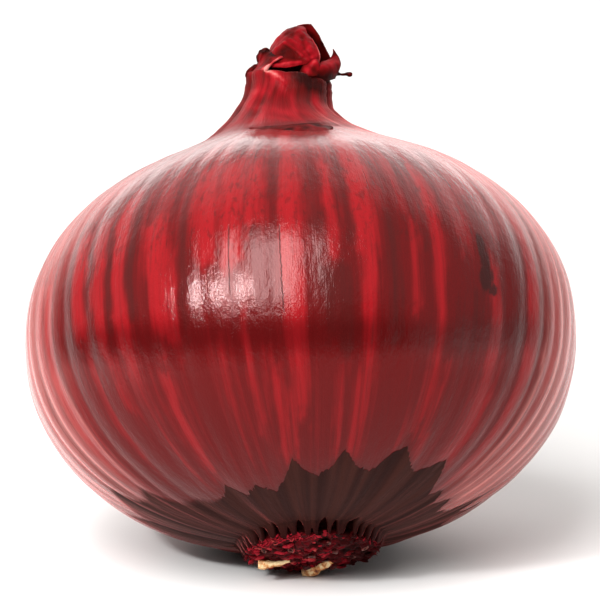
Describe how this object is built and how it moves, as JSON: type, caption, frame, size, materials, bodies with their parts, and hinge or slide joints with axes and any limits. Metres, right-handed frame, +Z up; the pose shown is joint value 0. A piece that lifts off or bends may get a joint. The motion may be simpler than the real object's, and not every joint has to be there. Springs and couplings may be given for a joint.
{
  "type": "red onion",
  "caption": "Large whole red onion with a pleated dry neck, a folded papery tip and a ragged root plate, resting on its belly.",
  "frame": {"origin": "middle of the bounding box's underside, on the surface that the onion rests on", "axes": "+Z up, +X to the onion's right as seen from the front, -Y to the front; the neck leans up and back towards +Y, and the root plate faces down and forward"},
  "size_m": [0.0844, 0.0811, 0.0785],
  "materials": {
    "onion_skin": "glossy dry papery skin, striped bright red and dark maroon",
    "dry_root": "dull, corky and crumbly, dark red brown with pale cut root ends"
  },
  "bodies": {
    "root": {"bulb": "onion_skin", "root_plate": "dry_root"}
  },
  "joints": []
}
